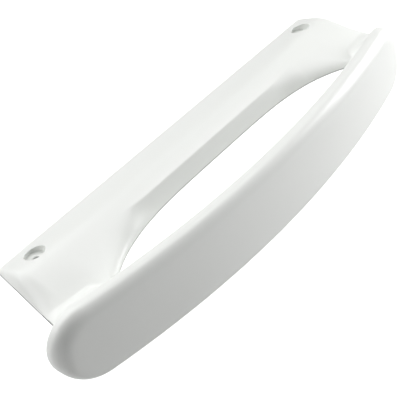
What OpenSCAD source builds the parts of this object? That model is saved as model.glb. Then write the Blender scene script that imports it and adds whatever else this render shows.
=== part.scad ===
// Appliance door handle, moulded in one piece.
// A long wedge-shaped plate screws flat against the side of a door. A tall bowed grip
// stands along the plate's front edge, and a slender opening between them takes the fingers.
// X runs along the handle, Y points to the plate's back edge and Z out of its top face.
// The origin lies midway between the two screw holes, on the flat mounting face.
// Depths are measured from the plate's back edge towards the grip.

/* [Plate] */
// Length of the plate along its back edge
plate_back_l = 274; // [266:1:280]
// How much each end of the plate leans outwards for each mm of depth
end_flare = 0.16; // [0.1:0.01:0.2]
// Thickness of the plate at its back edge
back_edge_t = 2.8; // [2:0.1:4]
// Height of the top's ridge at mid-length
ridge_mid_h = 12.6; // [11:0.2:14]
// Height of the top's ridge at the plate's ends
ridge_end_h = 10; // [9:0.2:11]
// Depth of the ridge at mid-length
ridge_mid_d = 26; // [24:0.5:29]
// Depth of the ridge at the plate's ends
ridge_end_d = 21; // [18:0.5:24]
// Half-width over which the ridge is rounded
ridge_round = 5; // [3:0.5:7]
// Slope of the top from the ridge towards the grip at mid-length
slope_mid = 0.22; // [0.16:0.01:0.28]
// Slope of the top from the ridge towards the grip at the plate's ends
slope_end = 0.32; // [0.22:0.01:0.36]
// Radius that rounds the plate's ends at the back corners
end_round_back = 3; // [2:0.5:5]
// Radius that rounds the plate's ends beside the grip
end_round_front = 14; // [9:0.5:15]

/* [Screw holes] */
// Distance between the two screw holes
hole_spacing = 240; // [224:1:248]
// Depth of the screw holes
hole_setback = 13.3; // [12:0.1:16]
// Diameter of each screw hole
hole_d = 5; // [3.5:0.1:6]
// Diameter of the recess for the screw head
recess_d = 12.5; // [10:0.5:15]
// Plastic left under the screw head
recess_floor = 2.6; // [2:0.1:3.2]

/* [Finger opening] */
// Depth of the opening's wall at mid-length
wall_setback = 41.7; // [38:0.1:44]
// How far the wall bows towards the grip at the half-length below
wall_bow = 7.1; // [5:0.1:9]
// Half-length at which that bow is measured
wall_bow_at = 85.7; // [82:0.1:90]
// Depth between the wall's crease and its foot at mid-length
wall_run = 5; // [3:0.5:8]
// Half-length up to which the crease stays crisp
crease_l = 56; // [48:1:62]
// Half-length at which it has softened into the scoop that runs to the opening's tip
scoop_l = 80; // [72:1:88]
// How far behind the crease that scoop starts
scoop_back = 2.4; // [0:0.2:4]

/* [Grip] */
// Overall length of the grip
grip_l = 314; // [304:1:322]
// Height of the grip's face, measured along its lean
grip_h = 44; // [38:1:50]
// Thickness of the grip
grip_t = 8.6; // [7.5:0.1:10]
// Depth of the grip's inner top edge at mid-length
grip_reach = 70; // [68:0.5:74]
// Height of the inner top edge over the mounting face
grip_top = 9.5; // [8:0.5:12]
// Radius of the grip's bow, seen from above
bow_r = 648; // [600:1:720]
// Outward lean of the grip at mid-length
lean_mid = 14.4; // [8:0.2:18]
// Outward lean of the grip at its ends
lean_end = 11; // [6:0.2:16]
// Length of each rounded end, seen from the front
grip_end_l = 22; // [18:1:30]
// Radius of the grip's long edges
edge_r = 3; // [1.5:0.1:3.5]
// Length over which the plate sweeps up into the grip beside the opening
sweep_tip = 2; // [1:0.5:4]
// Length over which it sweeps up at the plate's ends
sweep_end = 10.5; // [7:0.5:13]

/* [Underside] */
// Wall left over and around the moulding pockets
shell_t = 3; // [2.5:0.1:4]
// Thickness of the ribs between the pockets
rib_t = 2; // [1.5:0.1:3]
// Number of pockets along the plate
pocket_count = 9; // [5:2:13]
// Length of the pocketed stretch
pocket_l = 196; // [160:1:200]

/* [Hidden] */
half_back = plate_back_l / 2;
half_grip = grip_l / 2;
half_holes = hole_spacing / 2;
edge_land = 0.9;
pocket_setback = 8;
through = 1;

// Shape of the blends: where the top starts to change towards its ends, how soon before an
// opening's tip the upsweep starts and over what length it grows, how the scoop's start runs
// to the tip, how sharply the wall leaves its crease, how square the grip's rounded ends are
// and how far inside the grip's inner corner the upsweep ends
end_blend_l = 60;
tip_lead = 2;
tip_fade = 12;
scoop_power = 2.5;
crease_power = 1.4;
grip_end_power = 2.2;
root_in = 0.9;

// Fineness of the two lofted bodies
mid_steps = 24;
round_steps = 5;
top_steps = 8;
grip_mid_steps = 18;
grip_end_steps = 9;
back_angles = [0, 30, 60, 90];
wall_angles = [14, 28, 42, 54, 66, 76, 85];
corner_angles = [0, 22.5, 45, 67.5, 90];

function clamp01(t) = max(0, min(1, t));
function ease(t) = let (c = clamp01(t)) c * c * (3 - 2 * c);
function mix(a, b, t) = a + (b - a) * t;
function row(x, d, z) = [x, hole_setback - d, z];

// The grip's bow: depth of its inner top edge and of its middle
function inner_d(x) = grip_reach - x * x / (2 * bow_r);
function core_d(x) = inner_d(x) + grip_t / 2;
function lean(x) = mix(lean_mid, lean_end, pow(x / half_grip, 2));

// The opening's wall runs forward as a quartic and ends inside the grip
function wall_d(x) = min(wall_setback + wall_bow * pow(abs(x) / wall_bow_at, 4), core_d(x));
tip_x = [for (x = [60 : 0.5 : 140]) if (wall_d(x) >= inner_d(x)) x][0];

// Lengthwise blends: crisp crease at the middle, soft scoop to the tips, upsweep past them
function crisp(x) = 1 - ease((abs(x) - crease_l) / (scoop_l - crease_l));
function past_tip(x) = ease((abs(x) - tip_x + tip_lead) / tip_fade);
function to_end(x) = ease((abs(x) - tip_x) / (half_back - tip_x));
function sweep_l(x) = mix(sweep_tip, sweep_end, past_tip(x));

// Depth of the crease, which runs straight, then forward to the tip and on along the grip
function crease_d(x) = let (
    straight = wall_setback - wall_run - scoop_back * (1 - crisp(x)),
    t = clamp01((abs(x) - scoop_l) / (tip_x - scoop_l)))
    mix(mix(straight, inner_d(tip_x) - sweep_tip, pow(t, scoop_power)),
        inner_d(x) - sweep_l(x), past_tip(x));

// Height of the top before the opening is cut: two slopes that meet in a rounded ridge
function rounded_run(u) = sqrt(u * u + ridge_round * ridge_round) - ridge_round;
function top_z(x, d) = let (
    e = ease((abs(x) - end_blend_l) / (half_back - end_blend_l)),
    h = mix(ridge_mid_h, ridge_end_h, e),
    r = mix(ridge_mid_d, ridge_end_d, e),
    back_slope = (h - back_edge_t) / rounded_run(r),
    front_slope = mix(slope_mid, slope_end, to_end(x)))
    h - rounded_run(d - r) * (d < r ? back_slope : front_slope);

// Ends of the plate: half-length at a depth and the radius that rounds it there
function end_x(d) = half_back + end_flare * d;
function end_r(d) = mix(end_round_back, end_round_front, clamp01(d / core_d(half_back)));

// Height of the grip's inner top edge, which falls away on its rounded ends
function end_fall(x) = let (q = clamp01((abs(x) - half_grip + grip_end_l) / grip_end_l))
    pow(1 - pow(q, grip_end_power), 1 / grip_end_power);
function grip_half_h(x) = grip_h / 2 * end_fall(x);
function grip_edge_z(x) = grip_top - (grip_h / 2 - grip_half_h(x)) * cos(lean(x));

// Stations along the plate: [side, share of the straight length, angle round the end]
side_stations = concat(
    [for (i = [0 : mid_steps]) [i / mid_steps, 0]],
    [for (i = [1 : round_steps]) [1, 90 * i / round_steps]]);
stations = concat(
    [for (i = [len(side_stations) - 1 : -1 : 1]) [-1, side_stations[i][0], side_stations[i][1]]],
    [for (s = side_stations) [1, s[0], s[1]]]);

// Where a station crosses a depth, and the depth at which it meets the opening's wall
function station_x(s, d) = s[0] * (s[1] * (end_x(d) - end_r(d)) + end_r(d) * sin(s[2]));
function front_d(s, d = wall_setback, n = 10) = n == 0 ? d : front_d(s, wall_d(station_x(s, d)), n - 1);

// Height of the plate where it blends into the grip's inner edge past the opening's tips
function swept_z(x, d, z) = let (
    w = sweep_l(x) + root_in,
    q = clamp01((d - inner_d(x) - root_in + w) / w))
    z + max(0, grip_edge_z(x) - root_in - z) * q * q * past_tip(x);

// One lengthwise position of the plate as a closed outline: the flat mounting face, the
// rounded back edge, the ridged top, and the wall or the upsweep that ends it
function plate_outline(s) = let (
    df = front_d(s),
    xf = station_x(s, df),
    dc = crease_d(xf),
    p = past_tip(xf),
    rise = back_edge_t - edge_land,
    back = [for (a = back_angles) [rise * (1 - cos(a)), edge_land + rise * sin(a)]],
    top = [for (i = [1 : top_steps]) let (d = mix(rise, dc, i / top_steps)) [d, top_z(xf, d)]],
    n = len(wall_angles),
    wall = [for (i = [0 : n - 1]) let (
        q = sin(wall_angles[i]),
        d = mix(mix(dc, df, q), mix(dc, inner_d(xf) + root_in, (i + 1) / n), p),
        fall = mix(cos(wall_angles[i]), 1 - pow(q, crease_power), crisp(xf)))
        [d, top_z(xf, d) * mix(fall, 1, p)]])
    concat([[0, 0]], back, top, wall, [[df, 0]]);

function plate_ring(s) = let (o = plate_outline(s), n = len(o))
    [for (i = [0 : n - 1]) let (
        d = o[i][0],
        x = station_x(s, d),
        z = i == n - 1 ? 0 : swept_z(x, d, o[i][1]))
        row(x, d, i == 0 ? 0 : min(z, edge_land) + max(0, z - edge_land) * cos(s[2]))];

// Skin between rings of equal length, closed by a fan at each end
module loft(rings) {
    n = len(rings[0]);
    m = len(rings);
    skin = [for (i = [0 : m - 2], j = [0 : n - 1]) let (k = (j + 1) % n)
        each [[i * n + j, i * n + k, (i + 1) * n + k], [i * n + j, (i + 1) * n + k, (i + 1) * n + j]]];
    first = [for (j = [1 : n - 2]) [0, j + 1, j]];
    last = [for (j = [1 : n - 2]) [(m - 1) * n, (m - 1) * n + j, (m - 1) * n + j + 1]];
    polyhedron(points = [for (r = rings) each r], faces = concat(skin, first, last));
}

module plate_body() {
    loft([for (i = [len(stations) - 1 : -1 : 0]) plate_ring(stations[i])]);
}

// Cross-section of the grip: a leaning slab with rounded long edges
function grip_half_t(x) = let (q = clamp01((abs(x) - half_grip + edge_r) / edge_r))
    grip_t / 2 - edge_r * (1 - sqrt(1 - q * q));
function grip_ring(x) = let (
    hh = max(grip_half_h(x), 0.05),
    ht = max(grip_half_t(x), 0.3),
    r = min(edge_r, hh * 0.9, ht * 0.9),
    a = lean(x),
    outline = [for (q = [0 : 3]) each [for (c = corner_angles) let (
        sx = q == 0 || q == 3 ? 1 : -1,
        sz = q < 2 ? 1 : -1)
        [sx * (ht - r) + r * cos(c + 90 * q), sz * (hh - r) + r * sin(c + 90 * q)]]],
    d0 = core_d(x) + grip_h / 2 * sin(a),
    z0 = grip_top - grip_h / 2 * cos(a) + grip_t / 2 * sin(a))
    [for (p = outline) row(x, d0 + p[0] * cos(a) - p[1] * sin(a), z0 + p[0] * sin(a) + p[1] * cos(a))];

side_x = concat(
    [for (i = [0 : grip_mid_steps]) (half_grip - grip_end_l) * i / grip_mid_steps],
    [for (i = [1 : grip_end_steps]) half_grip - grip_end_l + grip_end_l * sin(90 * i / grip_end_steps)]);
grip_stations = concat([for (i = [len(side_x) - 1 : -1 : 1]) -side_x[i]], side_x);

module grip_body() {
    loft([for (x = grip_stations) grip_ring(x)]);
}

// Screw hole with a flat-floored recess for the head
module screw_hole(x) {
    translate([x, 0, -through])
        cylinder(h = ridge_mid_h + 2 * through, d = hole_d, $fn = 48);
    translate([x, 0, recess_floor])
        cylinder(h = ridge_mid_h, d = recess_d, $fn = 64);
}

// One moulding pocket in the underside, under the ridge and between two ribs
module pocket(x0, x1) {
    far = max(abs(x0), abs(x1));
    d0 = pocket_setback;
    d1 = wall_setback - wall_run - shell_t;
    ceiling = [for (i = [0 : 6]) let (d = mix(d1, d0, i / 6)) [d, top_z(far, d) - shell_t]];
    translate([x0, hole_setback, 0])
        rotate([90, 0, 90])
            linear_extrude(height = x1 - x0)
                mirror([1, 0])
                    polygon(concat([[d0, -through], [d1, -through]], ceiling));
}

module handle() {
    color("white")
        difference() {
            union() {
                plate_body();
                grip_body();
            }
            for (side = [-1, 1])
                screw_hole(side * half_holes);
            pitch = pocket_l / pocket_count;
            for (i = [0 : pocket_count - 1])
                pocket(-pocket_l / 2 + pitch * i + rib_t / 2, -pocket_l / 2 + pitch * (i + 1) - rib_t / 2);
        }
}

handle();
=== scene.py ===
import math

import bmesh
import bpy
import numpy as np
from mathutils import Euler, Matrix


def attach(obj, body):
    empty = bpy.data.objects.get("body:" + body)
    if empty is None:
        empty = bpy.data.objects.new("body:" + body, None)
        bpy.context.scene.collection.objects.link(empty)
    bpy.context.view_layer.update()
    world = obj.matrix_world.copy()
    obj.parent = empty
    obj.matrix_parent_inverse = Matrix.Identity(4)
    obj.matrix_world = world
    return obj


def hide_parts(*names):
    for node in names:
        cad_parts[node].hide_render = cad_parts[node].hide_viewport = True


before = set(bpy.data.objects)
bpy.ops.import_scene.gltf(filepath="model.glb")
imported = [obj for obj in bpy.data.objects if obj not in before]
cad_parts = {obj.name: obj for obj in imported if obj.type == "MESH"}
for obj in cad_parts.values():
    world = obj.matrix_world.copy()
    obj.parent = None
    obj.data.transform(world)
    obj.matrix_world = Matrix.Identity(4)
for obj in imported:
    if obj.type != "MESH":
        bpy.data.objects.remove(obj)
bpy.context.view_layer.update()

bl_info = {
    "name": "Appliance Door Handle",
    "version": (1, 0, 0),
    "blender": (4, 5, 0),
    "location": "View3D > Sidebar > Door Handle",
    "description": "One-piece moulded door handle with a mounting plate and a bowed grip",
    "category": "Add Mesh",
}

MM = 0.001

# Half-lengths, in metres, between which the opening's tips are searched, and how many are tried
TIP_FROM, TIP_TO, TIP_TRIES = 0.06, 0.14, 801
# How often each station's depth at the wall's foot is worked out again
FOOT_PASSES = 12
# How far below the grip's leaning top the upsweep ends
FLUSH_GAP = 0.12 * MM
# How far the rim turns under at the plate's ends, in degrees
UNDER_TURN = 78
# Angles at which the wall is sampled between its crease and its foot, in degrees
WALL_ANGLES = np.concatenate([np.linspace(1.5, 60, 24), np.linspace(62, 90, 15)])
# How far below its middle, as a share of its half-height, the grip's broad rounding has died out
BROAD_FROM = 0.9
# Points of the grip's mesh that are closer than this become one
MERGE_DISTANCE = 0.002 * MM

# Screw holes: fillet round the recess's floor, bevel of the hole, and the cutter's reach past both
RECESS_FILLET, HOLE_BEVEL, DRILL_PAST = 0.5 * MM, 0.3 * MM, 20 * MM
# Moulding pockets: corner radius, fall of the ceiling for each millimetre by which a ring's inset
# is under 1, and the cutter's rings, each an inset in millimetres and a level, where 1 is the
# ceiling and the others are heights in millimetres
POCKET_CORNER = 2.0 * MM
CEILING_FALL = 0.8
POCKET_RINGS = ((0.0, -2.0), (0.0, 0.0), (0.35, 1.0), (1.0, 1.0))

# Edges that turn by more than this are shaded sharp
SHARP_ANGLE = math.radians(38)
# Painted shade along the rim where it turns under: the height where it starts and how far it goes
# past the rim's rounding
RIM_SHADE_FROM, RIM_SHADE_PAST = 0.02 * MM, 0.4 * MM

# Plastic: refraction, roughness of the clear gloss and the spread of the skin's roughness
PLASTIC_IOR, GLOSS_ROUGHNESS, ROUGHNESS_SPREAD = 1.49, 0.2, 0.015
# Flow marks: size along each axis, fineness, and the part of the noise that shows
FLOW_STRETCH, FLOW_DETAIL, FLOW_FROM, FLOW_TO = (9.0, 30.0, 30.0), 3.0, 0.45, 0.75
# Grain that makes the gloss uneven
GRAIN_SCALE, GRAIN_DETAIL = 260.0, 2.0

# Soft square lamps: name, setting with the power, length of the sides and place, in metres
LAMPS = (
    ("overhead lamp", "top_power", 1.0, (0.6, -0.05, 1.3)),
    ("key lamp", "key_power", 1.7, (-0.4, 0.95, 1.05)),
    ("near end lamp", "near_power", 0.8, (-1.3, 0.2, 0.45)),
    ("far end lamp", "side_power", 0.9, (1.33, -0.56, 0.3)),
)
# Camera: width of the frame in millimetres, nearest and farthest distance in metres
FRAME_WIDTH, CLIP_NEAR, CLIP_FAR = 36.0, 0.01, 50.0


def length(name, description, millimetres):
    """A size of the handle, given in millimetres and kept in metres."""
    return bpy.props.FloatProperty(
        name=name, description=description, default=millimetres * MM, unit="LENGTH", precision=4
    )


def number(name, description, value):
    """A setting without a unit."""
    return bpy.props.FloatProperty(name=name, description=description, default=value)


def share(name, description, value):
    """A setting between 0 and 1."""
    return bpy.props.FloatProperty(
        name=name, description=description, default=value, min=0.0, max=1.0
    )


def angle(name, description, degrees):
    """An angle, given in degrees and kept in radians."""
    return bpy.props.FloatProperty(
        name=name, description=description, default=math.radians(degrees), subtype="ANGLE"
    )


def colour(name, description, value):
    """A colour without transparency."""
    return bpy.props.FloatVectorProperty(
        name=name, description=description, subtype="COLOR", size=3, default=value, min=0.0, max=1.0
    )


class HandlePlate(bpy.types.PropertyGroup):
    """Sizes of the plate that screws to the door."""

    back_length: length("Back Length", "Length of the plate along its back edge", 274.0)
    back_edge: length("Back Edge", "Thickness of the plate at its back edge", 2.8)
    end_flare: number("End Flare", "Outward lean of each end for each unit of depth", 0.16)
    ridge_mid_height: length("Ridge Height", "Height of the top's ridge at mid-length", 12.5)
    ridge_end_height: length("Ridge End Height", "Height of the ridge at the plate's ends", 9.6)
    ridge_mid_depth: length("Ridge Depth", "Depth of the ridge at mid-length", 26.0)
    ridge_end_depth: length("Ridge End Depth", "Depth of the ridge at the plate's ends", 21.0)
    ridge_round: length("Ridge Round", "Half-width over which the ridge is rounded", 5.0)
    slope_mid: number("Slope", "Fall of the top from the ridge towards the grip", 0.22)
    slope_end: number("End Slope", "The same fall at the plate's ends", 0.32)
    end_blend: length("End Blend", "Half-length at which the top starts to change", 60.0)
    end_round_back: length("Back Corner Round", "Rounding of the ends at the back", 3.0)
    end_round_front: length("Front Corner Round", "Rounding of the ends beside the grip", 16.0)
    rim_round: length("Rim Round", "Rounding under the rim, where the plate meets the door", 0.9)


class HandleOpening(bpy.types.PropertyGroup):
    """Sizes of the finger opening and of the wall that borders it."""

    wall_setback: length("Wall Setback", "Depth of the wall's foot at mid-length", 41.7)
    wall_bow: length("Wall Bow", "How far the wall bows towards the grip", 7.1)
    wall_bow_at: length("Wall Bow At", "Half-length at which the bow is measured", 85.7)
    wall_run: length("Wall Run", "Depth between the crease and the wall's foot", 5.0)
    crease_length: length("Crease Length", "Half-length up to which the crease is crisp", 56.0)
    scoop_length: length("Scoop Length", "Half-length at which it is a soft scoop", 80.0)
    scoop_back: length("Scoop Back", "How far behind the crease the scoop starts", 2.4)
    sweep_tip: length("Sweep at Tip", "Width of the upsweep into the grip at the tip", 2.0)
    sweep_end: length("Sweep at End", "Width of the upsweep at the plate's ends", 10.5)
    tip_lead: length("Tip Lead", "How soon before the tip the upsweep starts", 2.0)
    tip_fade: length("Tip Fade", "Length over which the upsweep grows", 12.0)
    scoop_power: number("Scoop Power", "How late the scoop runs forward to the tip", 2.5)
    crease_power: number("Crease Power", "How sharply the wall leaves the crease", 1.4)


class HandleGrip(bpy.types.PropertyGroup):
    """Sizes of the bowed grip."""

    overall: length("Length", "Overall length of the grip", 314.0)
    height: length("Height", "Height of the grip's face along its lean", 44.62)
    thickness: length("Thickness", "Thickness of the grip", 10.36)
    reach: length("Reach", "Depth of the inner top edge at mid-length", 69.8)
    top: length("Top", "Height of the inner top edge over the mounting face", 10.78)
    bow_radius: length("Bow Radius", "Radius of the grip's bow from above", 698.0)
    lean_mid: angle("Lean", "Outward lean at mid-length", 11.6)
    lean_end: angle("End Lean", "Outward lean at the ends", 8.0)
    end_length: length("End Length", "Length of each rounded end", 23.4)
    face_top_round: length("Face Top Round", "Reach inwards of the outer top edge's rounding", 6.2)
    face_top_drop: length("Face Top Drop", "How far that rounding reaches down the face", 9.0)
    face_bottom_round: length("Face Bottom Round", "Radius of the outer bottom edge", 2.6)
    inner_round: length("Inner Round", "Radius of the edges on the side of the plate", 2.4)
    root_in: length("Root", "How far inside the inner corner the upsweep ends", 3.0)


class HandleScrews(bpy.types.PropertyGroup):
    """Sizes of the screw holes and of the moulding pockets in the underside."""

    spacing: length("Spacing", "Distance between the two screw holes", 240.0)
    setback: length("Setback", "Depth of the holes from the back edge", 13.3)
    hole: length("Hole", "Diameter of each screw hole", 5.0)
    recess: length("Recess", "Diameter of the recess for the screw head", 12.5)
    floor: length("Recess Floor", "Plastic left under the screw head", 2.6)
    pockets: bpy.props.IntProperty(
        name="Pockets", description="Number of moulding pockets in the underside", default=9
    )
    pocket_stretch: length("Pocket Stretch", "Length of the pocketed stretch", 196.0)
    pocket_setback: length("Pocket Setback", "Depth at which the pockets start", 8.0)
    shell: length("Shell", "Wall left over and around the pockets", 3.0)
    rib: length("Rib", "Thickness of the ribs between the pockets", 2.0)


class HandleFinish(bpy.types.PropertyGroup):
    """Colour and gloss of the white plastic."""

    colour: colour("Colour", "Colour of the plastic", (0.85, 0.864, 0.84))
    shade: colour("Shade", "Colour of the faint flow marks", (0.843, 0.857, 0.832))
    # The rim colour is painted shade: a dark grey put on the faces that turn under along the rim.
    rim: colour("Rim", "Colour of the dull moulding line along the rim", (0.5, 0.5, 0.49))
    roughness: share("Roughness", "Roughness of the skin", 0.34)
    gloss: share("Gloss", "Weight of the clear gloss on the skin", 0.2)


class HandleStudio(bpy.types.PropertyGroup):
    """Floor, light and camera."""

    floor_height: length("Floor Height", "Height of the floor", -120.0)
    floor_size: length("Floor Size", "Length of the floor's sides", 2200.0)
    floor_colour: colour("Floor Colour", "Colour of the floor", (0.86, 0.86, 0.86))
    floor_lift: number("Floor Lift", "White added where the camera sees the floor", 0.45)
    ambient: number("Ambient", "Brightness of the room round the object", 0.03)
    top_power: number("Top", "Power of the lamp overhead", 7.5)
    key_power: number("Key", "Power of the lamp behind the plate", 23.7)
    near_power: number("Near", "Power of the lamp at the near end", 2.5)
    side_power: number("Side", "Power of the lamp at the far end", 21.5)
    lens: bpy.props.FloatProperty(
        name="Lens", description="Focal length", default=81.0, subtype="DISTANCE_CAMERA"
    )
    camera_place: bpy.props.FloatVectorProperty(
        name="Camera Place", description="Where the camera stands", size=3, unit="LENGTH",
        default=(-0.28847, -0.30299, 0.33355),
    )
    camera_turn: bpy.props.FloatVectorProperty(
        name="Camera Turn", description="How the camera is turned", size=3, subtype="EULER",
        default=(math.radians(46.971), math.radians(7.006), math.radians(-50.502)),
    )


def ease(t):
    """Smooth step: 3t² - 2t³ with t held between 0 and 1."""
    t = np.clip(t, 0.0, 1.0)
    return t * t * (3.0 - 2.0 * t)


def mix(a, b, t):
    """Straight blend from a to b."""
    return a + (b - a) * t


class HandleCurves:
    """The handle's curves, all in metres.

    x runs along the handle, and depth from the plate's back edge to the grip.
    """

    def __init__(self, scene):
        self.plate = scene.handle_plate
        self.opening = scene.handle_opening
        self.grip = scene.handle_grip
        self.screws = scene.handle_screws
        self.half_back = self.plate.back_length / 2
        self.half_grip = self.grip.overall / 2
        tries = np.linspace(TIP_FROM, TIP_TO, TIP_TRIES)
        self.tip = float(tries[np.argmax(self.wall_foot(tries) >= self.inner(tries))])

    def inner(self, x):
        """Depth of the grip's inner top edge: reach - x² / (2 bow radius)."""
        return self.grip.reach - x * x / (2 * self.grip.bow_radius)

    def core(self, x):
        """Depth of the grip's middle."""
        return self.inner(x) + self.grip.thickness / 2

    def lean(self, x):
        """Lean of the grip, blended with the square of the distance from mid-length."""
        return mix(self.grip.lean_mid, self.grip.lean_end, (x / self.half_grip) ** 2)

    def wall_foot(self, x):
        """Depth of the wall's foot: setback + bow (x / bow_at)⁴, held inside the grip."""
        o = self.opening
        depth = o.wall_setback + o.wall_bow * (np.abs(x) / o.wall_bow_at) ** 4
        return np.minimum(depth, self.core(x))

    def crisp(self, x):
        """1 where the crease is sharp, 0 where it has become a scoop."""
        o = self.opening
        return 1 - ease((np.abs(x) - o.crease_length) / (o.scoop_length - o.crease_length))

    def past_tip(self, x):
        """0 along the opening, 1 where the plate has joined the grip."""
        o = self.opening
        return ease((np.abs(x) - self.tip + o.tip_lead) / o.tip_fade)

    def sweep(self, x):
        """Width of the upsweep into the grip."""
        return mix(self.opening.sweep_tip, self.opening.sweep_end, self.past_tip(x))

    def crease(self, x):
        """Depth of the crease.

        It is straight, then runs forward to the tip with a power of the way, then along the grip.
        """
        o = self.opening
        straight = o.wall_setback - o.wall_run - o.scoop_back * (1 - self.crisp(x))
        t = np.clip((np.abs(x) - o.scoop_length) / (self.tip - o.scoop_length), 0, 1)
        before = mix(straight, self.inner(self.tip) - o.sweep_tip, t ** o.scoop_power)
        return mix(before, self.inner(x) - self.sweep(x), self.past_tip(x))

    def rounded_run(self, u):
        """Distance along a slope that starts in a rounded ridge: √(u² + r²) - r."""
        r = self.plate.ridge_round
        return np.sqrt(u * u + r * r) - r

    def top(self, x, d):
        """Height of the plate's top: two slopes that fall from a rounded ridge."""
        p = self.plate
        e = ease((np.abs(x) - p.end_blend) / (self.half_back - p.end_blend))
        height = mix(p.ridge_mid_height, p.ridge_end_height, e)
        ridge = mix(p.ridge_mid_depth, p.ridge_end_depth, e)
        back = (height - p.back_edge) / self.rounded_run(ridge - p.back_edge + p.rim_round)
        to_end = ease((np.abs(x) - self.tip) / (self.half_back - self.tip))
        front = mix(p.slope_mid, p.slope_end, to_end)
        return height - self.rounded_run(d - ridge) * np.where(d < ridge, back, front)

    def end_x(self, d):
        """Half-length of the plate at a depth."""
        return self.half_back + self.plate.end_flare * d

    def end_round(self, d):
        """Radius that rounds the plate's ends at a depth."""
        t = np.clip(d / self.core(self.half_back), 0, 1)
        return mix(self.plate.end_round_back, self.plate.end_round_front, t)

    def grip_half_height(self, x):
        """Half-height of the grip's face: an ellipse over each rounded end."""
        g = self.grip
        q = np.clip((np.abs(x) - self.half_grip + g.end_length) / g.end_length, 0, 1)
        return g.height / 2 * np.sqrt(1 - q * q)

    def grip_edge(self, x):
        """Height of the grip's inner top edge."""
        fall = self.grip.height / 2 - self.grip_half_height(x)
        return self.grip.top - fall * np.cos(self.lean(x))

    def swept(self, x, d, z, left):
        """z lifted by a smooth step across the upsweep, up to flush with the grip's leaning top.

        left is the share of the plate's end rounding that is left, so the lift dies away round
        the plate's ends.
        """
        g = self.grip
        w = self.sweep(x) + g.root_in
        q = (d - self.inner(x) - g.root_in + w) / w
        flush = self.grip_edge(x) + g.root_in * np.tan(self.lean(x)) - FLUSH_GAP
        return z + np.maximum(0, flush - z) * ease(q) * self.past_tip(x) * left

    def place(self, x, d, z):
        """Coordinates in the part's frame of a length, a depth and a height."""
        x, d, z = np.broadcast_arrays(x, d, z)
        return np.stack([x, self.screws.setback - d, z], axis=-1)


def tube_faces(rows, columns):
    """Quads of a grid whose columns close on themselves."""
    i, j = np.meshgrid(np.arange(rows - 1), np.arange(columns), indexing="ij")
    k = (j + 1) % columns
    corners = [i * columns + j, i * columns + k, (i + 1) * columns + k, (i + 1) * columns + j]
    return np.stack(corners, axis=-1).reshape(-1, 4)


def mesh_from(name, points, quads, caps=()):
    """A mesh from arrays of points and quads, with each cap one face over a row of points."""
    mesh = bpy.data.meshes.new(name)
    faces = [tuple(q) for q in quads.tolist()] + [tuple(c) for c in caps]
    mesh.from_pydata(points.reshape(-1, 3).tolist(), [], faces)
    mesh.validate()
    mesh.update()
    return mesh


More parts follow.
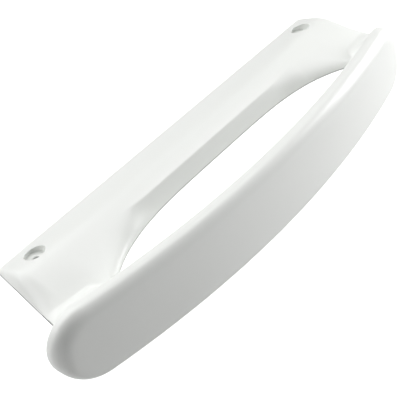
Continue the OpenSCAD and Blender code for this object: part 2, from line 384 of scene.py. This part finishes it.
def plate_mesh(curves, mid=170, ends=18, rim=5, back=8, over=40):
    """The plate as closed outlines carried along x.

    Each outline runs along the flat mounting face, round the back edge, over the ridged top and
    down the wall. At the ends the height above the rim falls with the cosine of an angle while
    the length grows with its sine, and last the rim turns under by a small quarter circle. The
    numbers are steps: out to an end, round it, round the rim, round the back edge and over the
    top.
    """
    p = curves.plate
    turn = np.radians(90 * np.arange(1, ends + 1) / ends)
    under = np.radians(UNDER_TURN * np.arange(1, rim + 1) / rim)
    out = np.concatenate([np.linspace(0, 1, mid + 1), np.ones(ends + rim)])
    phi = np.concatenate([np.zeros(mid + 1), turn, np.full(rim, math.pi / 2)])
    low = np.concatenate([np.zeros(mid + 1 + ends), under])
    side = np.concatenate([np.full(len(out) - 1, -1.0), np.ones(len(out))])
    out, phi, low = (np.concatenate([a[:0:-1], a])[:, None] for a in (out, phi, low))
    side = side[:, None]

    def along(d):
        """Length at a depth, for every station."""
        r = curves.end_round(d)
        straight = out * (curves.end_x(d) - r)
        return side * (straight + r * np.sin(phi) - p.rim_round * (1 - np.cos(low)))

    foot = np.full_like(out, curves.opening.wall_setback)
    for _ in range(FOOT_PASSES):
        foot = curves.wall_foot(along(foot))
    x_foot = along(foot)
    crease = curves.crease(x_foot)
    past = curves.past_tip(x_foot)
    crisp = curves.crisp(x_foot)

    rim_turn = np.radians(np.linspace(90, 0, rim + 1))[None, :]
    back_turn = np.radians(np.linspace(0, 90, back + 1))[None, 1:]
    rise = p.back_edge - p.rim_round
    ones = np.ones_like(out)
    rim_d, rim_z = p.rim_round * (1 - np.cos(rim_turn)), p.rim_round * (1 - np.sin(rim_turn))
    edge_d, edge_z = rise * (1 - np.cos(back_turn)), p.rim_round + rise * np.sin(back_turn)
    back_d = np.concatenate([rim_d, edge_d], 1) * ones
    back_z = np.concatenate([rim_z, edge_z], 1) * ones

    steps = np.arange(1, over + 1)[None, :] / over
    top_d = mix(rise, crease, steps)
    top_z = curves.top(x_foot, top_d)

    bend = np.radians(WALL_ANGLES)[None, :]
    q = np.sin(bend)
    n = bend.shape[1]
    to_grip = np.arange(1, n + 1)[None, :] / n
    down = mix(crease, foot, q)
    forward = mix(crease, curves.inner(x_foot) + curves.grip.root_in, to_grip)
    wall_d = mix(down, forward, past)
    fall = mix(np.cos(bend), 1 - q ** curves.opening.crease_power, crisp)
    wall_top = curves.top(x_foot, wall_d)
    wall_z = p.rim_round + (wall_top - p.rim_round) * mix(fall, 1.0, past)

    foot_turn = np.radians(np.linspace(0, 90, rim + 1))[None, 1:]
    foot_d = foot - p.rim_round * (1 - np.cos(foot_turn))
    foot_z = p.rim_round * (1 - np.sin(foot_turn)) * ones

    d = np.concatenate([back_d, top_d, wall_d, foot_d], 1)
    z = np.concatenate([back_z, top_z, wall_z, foot_z], 1)
    x = along(d)
    inside = slice(back_d.shape[1], d.shape[1] - foot_d.shape[1])
    z[:, inside] = curves.swept(x, d, z, np.cos(phi))[:, inside]
    z = np.minimum(z, p.rim_round) + np.maximum(0, z - p.rim_round) * np.cos(phi)
    z = np.where(low > 0, np.minimum(z, p.rim_round * (1 - np.sin(low))), z)
    points = curves.place(x, d, z)
    rows, columns = x.shape
    quads = tube_faces(rows, columns)[:, ::-1]
    last = (rows - 1) * columns
    caps = [range(columns), range(rows * columns - 1, last - 1, -1)]
    return mesh_from("plate surface", points, quads, caps)


def grip_mesh(curves, ends=48, mid=150, roll=12, fill=7):
    """The grip as its face outline carried over rolled edges.

    The outline is straight along the top and bottom and an ellipse round each end. On each side
    its profile runs in from the outline by drop(1 - sin b) while the thickness grows by r cos b,
    then straight to the middle line. On the face both are broad along the top and small along
    the bottom. The flat slab is then leaned and bowed. The numbers are steps: round a quarter of
    an end, along a straight side, over a rolled edge and in to the middle line.
    """
    g = curves.grip
    half, tall = g.thickness / 2, g.height / 2
    straight = curves.half_grip - g.end_length
    t = np.radians(90 * np.arange(ends + 1) / ends)
    ex, eh = straight + g.end_length * np.sin(t), tall * np.cos(t)
    eh[-1] = 0.0
    run = np.linspace(-straight, straight, mid + 1)[1:-1]
    level = np.full(len(run), tall)
    ox = np.concatenate([run, ex, ex[-2::-1], run[::-1], -ex, -ex[-2::-1]])
    oh = np.concatenate([level, eh, -eh[-2::-1], -level, -eh, eh[-2::-1]])
    round_end = np.clip((np.abs(ox) - straight) / g.end_length, 0, 1)
    nx, nh = np.sign(ox) * round_end / g.end_length, oh / tall / tall
    size = np.hypot(nx, nh)
    nx, nh = nx / size, nh / size
    upper = ease(BROAD_FROM + oh / tall)
    face_round = mix(g.face_bottom_round, g.face_top_round, upper)
    face_drop = mix(g.face_bottom_round, g.face_top_drop, upper)
    inner_round = np.full_like(ox, g.inner_round)

    b = np.radians(90 * np.arange(roll + 1) / roll)[:, None]
    s = (np.arange(1, fill + 1) / fill)[:, None]
    middle_x = np.clip(ox, -straight, straight)

    def half_profile(r, drop):
        """Length, height and thickness from the middle line out to the outline, for one side."""
        inset = drop * (1 - np.sin(b))
        thick = half - r * (1 - np.cos(b))
        fill_x, fill_h = mix(ox - nx * drop, middle_x, s), mix(oh - nh * drop, 0.0, s)
        x = np.concatenate([fill_x[::-1], ox - nx * inset])
        h = np.concatenate([fill_h[::-1], oh - nh * inset])
        return x, h, np.concatenate([np.full_like(fill_x, half), thick * np.ones_like(ox)])

    face, inner = half_profile(face_round, face_drop), half_profile(inner_round, inner_round)
    x = np.concatenate([face[0], inner[0][::-1]])
    h = np.concatenate([face[1], inner[1][::-1]])
    w = np.concatenate([face[2], -inner[2][::-1]])

    a = curves.lean(x)
    d = curves.core(x) + tall * np.sin(a) + w * np.cos(a) - h * np.sin(a)
    z = g.top - tall * np.cos(a) + half * np.sin(a) + w * np.sin(a) + h * np.cos(a)
    rows, columns = x.shape
    return mesh_from("grip surface", curves.place(x, d, z), tube_faces(rows, columns))


def drill_mesh(curves, side, around=96, bend=5):
    """Cutter for one screw hole: a profile of radius and height turned about the hole's axis."""
    s = curves.screws
    hole, recess, floor = s.hole / 2, s.recess / 2, s.floor
    arc = np.radians(np.linspace(0, 90, bend + 1))
    fillet_r = recess - RECESS_FILLET + RECESS_FILLET * np.sin(arc)
    fillet_z = floor + RECESS_FILLET * (1 - np.cos(arc))
    radius = np.concatenate([[hole, hole, hole + HOLE_BEVEL], fillet_r, [recess]])
    height = np.concatenate([[-DRILL_PAST, floor - HOLE_BEVEL, floor], fillet_z, [DRILL_PAST]])
    turn = 2 * np.pi * np.arange(around) / around
    x = side * s.spacing / 2 + radius[:, None] * np.cos(turn)
    y = radius[:, None] * np.sin(turn)
    z = height[:, None] * np.ones_like(turn)
    rows = len(radius)
    caps = [range(around - 1, -1, -1), range((rows - 1) * around, rows * around)]
    return mesh_from("drill", np.stack([x, y, z], -1), tube_faces(rows, around), caps)


def pocket_mesh(curves, x0, x1, around=12):
    """Cutter for one moulding pocket: a rounded rectangle raised to a ceiling under the top."""
    s, o = curves.screws, curves.opening
    d0, d1 = s.pocket_setback, o.wall_setback - o.wall_run - s.shell
    turn = np.radians(np.linspace(0, 90, around))
    quarter = np.stack([np.cos(turn), np.sin(turn)], -1)
    signs = np.array([[1, 1], [-1, 1], [-1, -1], [1, -1]])
    arcs = (quarter, quarter[::-1], quarter, quarter[::-1])
    unit = np.concatenate([arc * sign for arc, sign in zip(arcs, signs)])
    corner = np.repeat(signs, around, axis=0)
    half_x, half_d = (x1 - x0) / 2 - POCKET_CORNER, (d1 - d0) / 2 - POCKET_CORNER
    far = max(abs(x0), abs(x1))
    rings = []
    for inset, level in POCKET_RINGS:
        radius = POCKET_CORNER - inset * MM
        px = (x0 + x1) / 2 + corner[:, 0] * half_x + unit[:, 0] * radius
        pd = (d0 + d1) / 2 + corner[:, 1] * half_d + unit[:, 1] * radius
        ceiling = curves.top(np.full_like(px, far), pd) - s.shell
        z = np.where(level > 0, ceiling - (1 - inset) * MM * CEILING_FALL, level * MM)
        rings.append(curves.place(px, pd, z))
    rings = np.array(rings)
    middle = rings[-1].mean(axis=0)
    points = np.concatenate([rings.reshape(-1, 3), middle[None, :]])
    rows, columns = rings.shape[:2]
    last = (rows - 1) * columns
    fan = [(last + j, last + (j + 1) % columns, rows * columns) for j in range(columns)]
    caps = [range(columns - 1, -1, -1)] + fan
    return mesh_from("pocket", points, tube_faces(rows, columns), caps)


def outward(mesh):
    """Turns a closed mesh's faces outwards by the sign of its volume."""
    mesh.calc_loop_triangles()
    tri = np.zeros(len(mesh.loop_triangles) * 3, np.int32)
    mesh.loop_triangles.foreach_get("vertices", tri)
    co = np.zeros(len(mesh.vertices) * 3)
    mesh.vertices.foreach_get("co", co)
    a, b, c = np.moveaxis(co.reshape(-1, 3)[tri.reshape(-1, 3)], 1, 0)
    if np.einsum("ij,ij->i", a, np.cross(b, c)).sum() < 0:
        mesh.flip_normals()


def add_object(name, mesh):
    """Links a new object that sits at the origin."""
    obj = bpy.data.objects.new(name, mesh)
    bpy.context.scene.collection.objects.link(obj)
    return obj


def merge_doubles(mesh, distance):
    """Joins points closer than distance."""
    bm = bmesh.new()
    bm.from_mesh(mesh)
    bmesh.ops.remove_doubles(bm, verts=bm.verts, dist=distance)
    bmesh.ops.dissolve_degenerate(bm, dist=distance, edges=bm.edges)
    bm.to_mesh(mesh)
    bm.free()


def combine(obj, mesh, operation):
    """Adds or cuts a closed mesh with an exact boolean and keeps the result in the object."""
    outward(mesh)
    tool = add_object("tool", mesh)
    modifier = obj.modifiers.new("combine", "BOOLEAN")
    modifier.operation, modifier.object, modifier.solver = operation, tool, "EXACT"
    depsgraph = bpy.context.evaluated_depsgraph_get()
    result = bpy.data.meshes.new_from_object(obj.evaluated_get(depsgraph))
    obj.modifiers.clear()
    old, obj.data = obj.data, result
    bpy.data.meshes.remove(old)
    bpy.data.objects.remove(tool)
    bpy.data.meshes.remove(mesh)
    if not len(result.polygons):
        raise RuntimeError(f"{operation} left nothing of {obj.name}")


def material(name):
    """An empty node material with its output."""
    mat = bpy.data.materials.new(name)
    mat.use_nodes = True
    nodes = mat.node_tree.nodes
    nodes.clear()
    return mat, nodes, mat.node_tree.links, nodes.new("ShaderNodeOutputMaterial")


def noise(nodes, links, vector, detail, scale=1.0):
    """Noise over a vector, between 0 and 1."""
    texture = nodes.new("ShaderNodeTexNoise")
    texture.inputs["Scale"].default_value = scale
    texture.inputs["Detail"].default_value = detail
    links.new(vector, texture.inputs["Vector"])
    return texture.outputs["Fac"]


def colour_mix(nodes, links, factor, second):
    """A colour mix whose second colour is plain."""
    node = nodes.new("ShaderNodeMix")
    node.data_type = "RGBA"
    node.inputs["B"].default_value = (*second, 1.0)
    links.new(factor, node.inputs["Factor"])
    return node


def camera_sight(nodes, links):
    """1 where the camera looks, also through something clear, and 0 for all other light."""
    path = nodes.new("ShaderNodeLightPath")
    seen = nodes.new("ShaderNodeMath")
    seen.operation = "MAXIMUM"
    links.new(path.outputs["Is Camera Ray"], seen.inputs[0])
    links.new(path.outputs["Is Transmission Ray"], seen.inputs[1])
    return seen.outputs[0]


def white_plastic(finish):
    """White plastic with faint flow marks, slightly uneven gloss and painted shade on the rim's
    underside.
    """
    mat, nodes, links, out = material("white gloss plastic")
    shader = nodes.new("ShaderNodeBsdfPrincipled")
    shader.inputs["IOR"].default_value = PLASTIC_IOR
    shader.inputs["Coat Weight"].default_value = finish.gloss
    shader.inputs["Coat Roughness"].default_value = GLOSS_ROUGHNESS
    place = nodes.new("ShaderNodeTexCoord")
    stretch = nodes.new("ShaderNodeMapping")
    stretch.inputs["Scale"].default_value = FLOW_STRETCH
    links.new(place.outputs["Object"], stretch.inputs["Vector"])
    marks = nodes.new("ShaderNodeMapRange")
    marks.inputs["From Min"].default_value = FLOW_FROM
    marks.inputs["From Max"].default_value = FLOW_TO
    flow = noise(nodes, links, stretch.outputs["Vector"], FLOW_DETAIL)
    links.new(flow, marks.inputs["Value"])
    tone = colour_mix(nodes, links, marks.outputs["Result"], finish.shade)
    tone.inputs["A"].default_value = (*finish.colour, 1.0)
    # Painted shade: the marked rim faces are mixed towards the dark rim colour.
    rim = nodes.new("ShaderNodeAttribute")
    rim.attribute_name = "rim"
    edge = colour_mix(nodes, links, rim.outputs["Fac"], finish.rim)
    links.new(tone.outputs["Result"], edge.inputs["A"])
    links.new(edge.outputs["Result"], shader.inputs["Base Color"])
    skin = nodes.new("ShaderNodeMapRange")
    skin.inputs["To Min"].default_value = finish.roughness - ROUGHNESS_SPREAD
    skin.inputs["To Max"].default_value = finish.roughness + ROUGHNESS_SPREAD
    grain = noise(nodes, links, place.outputs["Object"], GRAIN_DETAIL, GRAIN_SCALE)
    links.new(grain, skin.inputs["Value"])
    links.new(skin.outputs["Result"], shader.inputs["Roughness"])
    links.new(shader.outputs["BSDF"], out.inputs["Surface"])
    return mat


def pale_floor(studio):
    """A pale floor that keeps the object's shadow, reads as white and is clear from below."""
    mat, nodes, links, out = material("pale floor")
    diffuse = nodes.new("ShaderNodeBsdfDiffuse")
    diffuse.inputs["Color"].default_value = (*studio.floor_colour, 1.0)
    glow = nodes.new("ShaderNodeEmission")
    lift = nodes.new("ShaderNodeMath")
    lift.operation = "MULTIPLY"
    lift.inputs[1].default_value = studio.floor_lift
    links.new(camera_sight(nodes, links), lift.inputs[0])
    links.new(lift.outputs[0], glow.inputs["Strength"])
    both = nodes.new("ShaderNodeAddShader")
    links.new(diffuse.outputs[0], both.inputs[0])
    links.new(glow.outputs[0], both.inputs[1])
    side = nodes.new("ShaderNodeNewGeometry")
    clear = nodes.new("ShaderNodeBsdfTransparent")
    seen_from = nodes.new("ShaderNodeMixShader")
    links.new(side.outputs["Backfacing"], seen_from.inputs[0])
    links.new(both.outputs[0], seen_from.inputs[1])
    links.new(clear.outputs[0], seen_from.inputs[2])
    links.new(seen_from.outputs[0], out.inputs["Surface"])
    return mat


def white_room(studio):
    """A world that is white where the camera looks and lights the object at a plain level."""
    world = bpy.data.worlds.new("white room")
    world.use_nodes = True
    nodes, links = world.node_tree.nodes, world.node_tree.links
    nodes.clear()
    out = nodes.new("ShaderNodeOutputWorld")
    back = nodes.new("ShaderNodeBackground")
    back.inputs["Color"].default_value = (1.0, 1.0, 1.0, 1.0)
    level = nodes.new("ShaderNodeMapRange")
    level.inputs["To Min"].default_value = studio.ambient
    level.inputs["To Max"].default_value = 1.0
    links.new(camera_sight(nodes, links), level.inputs["Value"])
    links.new(level.outputs["Result"], back.inputs["Strength"])
    links.new(back.outputs[0], out.inputs["Surface"])
    return world


def mark_painted_rim_shade(curves, mesh):
    """Marks the faces that turn under along the plate's rim, where painted shade darkens the
    colour.
    """
    middle = np.zeros(len(mesh.polygons) * 3)
    mesh.polygons.foreach_get("center", middle)
    x, y, z = middle.reshape(-1, 3).T
    on_plate = curves.screws.setback - y < curves.inner(x)
    rim = on_plate & (z > RIM_SHADE_FROM) & (z < curves.plate.rim_round + RIM_SHADE_PAST)
    values = mesh.attributes.new("rim", "FLOAT", "FACE").data
    values.foreach_set("value", rim.astype(np.float32))


class HANDLE_OT_moulding(bpy.types.Operator):
    """Builds the handle's one moulded piece in place of the plain solid"""

    bl_idname = "door_handle.moulding"
    bl_label = "Moulded Handle"

    def execute(self, context):
        scene = context.scene
        curves = HandleCurves(scene)
        grip = grip_mesh(curves)
        merge_doubles(grip, MERGE_DISTANCE)
        plate = plate_mesh(curves)
        outward(plate)
        handle = add_object("moulded_handle", plate)
        combine(handle, grip, "UNION")
        for side in (-1, 1):
            combine(handle, drill_mesh(curves, side), "DIFFERENCE")
        s = curves.screws
        pitch = s.pocket_stretch / s.pockets
        for i in range(s.pockets):
            start = -s.pocket_stretch / 2 + pitch * i
            pocket = pocket_mesh(curves, start + s.rib / 2, start + pitch - s.rib / 2)
            combine(handle, pocket, "DIFFERENCE")
        mesh = handle.data
        mesh.name = "moulded handle"
        mesh.polygons.foreach_set("use_smooth", np.ones(len(mesh.polygons), bool))
        mesh.set_sharp_from_angle(angle=SHARP_ANGLE)
        # Marks the rim's underside, where the colour is darkened as painted shade.
        mark_painted_rim_shade(curves, mesh)
        mesh.materials.clear()
        mesh.materials.append(white_plastic(scene.handle_finish))
        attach(handle, "root")
        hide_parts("handle")
        return {"FINISHED"}


class HANDLE_OT_studio(bpy.types.Operator):
    """Sets up the pale floor, the soft lamps and the camera"""

    bl_idname = "door_handle.studio"
    bl_label = "Studio"

    def execute(self, context):
        scene = context.scene
        studio = scene.handle_studio
        reach = studio.floor_size / 2
        corners = np.array([[-reach, -reach], [reach, -reach], [reach, reach], [-reach, reach]])
        points = np.column_stack([corners, np.full(4, studio.floor_height)])
        floor = add_object("floor", mesh_from("floor", points, np.array([[0, 1, 2, 3]])))
        floor.data.materials.append(pale_floor(studio))
        scene.world = white_room(studio)
        for name, power, size, place in LAMPS:
            self.lamp(name, getattr(studio, power), size, place)
        data = bpy.data.cameras.new("camera")
        data.lens = studio.lens
        data.sensor_width = FRAME_WIDTH
        data.clip_start, data.clip_end = CLIP_NEAR, CLIP_FAR
        camera = add_object("camera", data)
        camera.location = studio.camera_place
        camera.rotation_euler = Euler(studio.camera_turn)
        scene.camera = camera
        scene.view_settings.view_transform = "Standard"
        return {"FINISHED"}

    @staticmethod
    def lamp(name, power, size, place):
        """A soft square lamp that faces the origin."""
        data = bpy.data.lights.new(name, "AREA")
        data.energy, data.size = power, size
        obj = add_object(name, data)
        place = np.array(place)
        x, y, z = -place / np.linalg.norm(place)
        obj.location = place
        obj.rotation_euler = (math.acos(-z), 0.0, math.atan2(-x, y))


class HANDLE_PT_sidebar(bpy.types.Panel):
    """Lists the handle's sizes and the operators that build it"""

    bl_idname = "HANDLE_PT_sidebar"
    bl_label = "Door Handle"
    bl_space_type = "VIEW_3D"
    bl_region_type = "UI"
    bl_category = "Door Handle"

    def draw(self, context):
        layout = self.layout
        for title, name in GROUPS:
            box = layout.box()
            box.label(text=title)
            group = getattr(context.scene, name)
            for prop in group.bl_rna.properties:
                if prop.identifier not in {"rna_type", "name"}:
                    box.prop(group, prop.identifier)
        for operator in (HANDLE_OT_moulding, HANDLE_OT_studio):
            layout.operator(operator.bl_idname)


GROUPS = (
    ("Plate", "handle_plate"),
    ("Finger Opening", "handle_opening"),
    ("Grip", "handle_grip"),
    ("Screw Holes", "handle_screws"),
    ("Finish", "handle_finish"),
    ("Studio", "handle_studio"),
)
TYPES = (HandlePlate, HandleOpening, HandleGrip, HandleScrews, HandleFinish, HandleStudio)
CLASSES = (*TYPES, HANDLE_OT_moulding, HANDLE_OT_studio, HANDLE_PT_sidebar)


def register():
    """Registers the classes and hangs the settings on the scene."""
    for cls in CLASSES:
        bpy.utils.register_class(cls)
    for (_, name), cls in zip(GROUPS, TYPES):
        setattr(bpy.types.Scene, name, bpy.props.PointerProperty(type=cls))


def unregister():
    """Takes the settings and the classes away again."""
    for _, name in GROUPS:
        delattr(bpy.types.Scene, name)
    for cls in reversed(CLASSES):
        bpy.utils.unregister_class(cls)


def main():
    register()
    bpy.ops.door_handle.moulding()
    bpy.ops.door_handle.studio()


if __name__ == "__main__":
    main()
